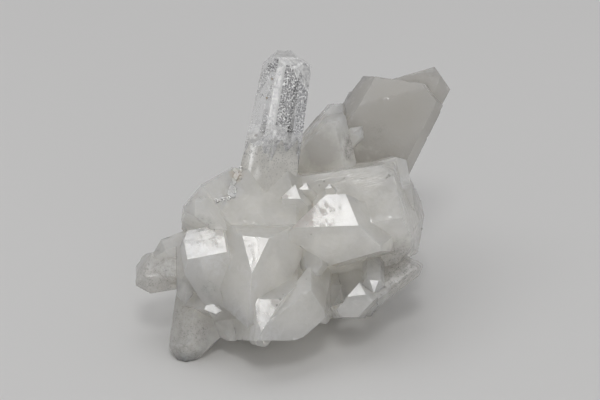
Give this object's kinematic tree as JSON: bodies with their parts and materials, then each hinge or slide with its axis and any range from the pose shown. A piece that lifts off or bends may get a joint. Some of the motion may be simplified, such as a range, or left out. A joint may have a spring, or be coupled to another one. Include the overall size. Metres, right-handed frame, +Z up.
{
  "type": "quartz floater crystal cluster",
  "caption": "Crystals of clear and milky quartz grown together on all sides, with an upright prism, a broad flat crystal behind it and blunt points around the base",
  "frame": {"origin": "middle of the bounding box in X and Y, at the level of the feet it rests on", "axes": "+Z is up as it rests, +X is to the right in the picture, +Y leads away from the camera"},
  "size_m": [0.0642, 0.0592, 0.0555],
  "materials": {
    "quartz": "glassy crystal faces, milky inside"
  },
  "bodies": {
    "root": {"quartz_cluster": "quartz"}
  },
  "joints": []
}
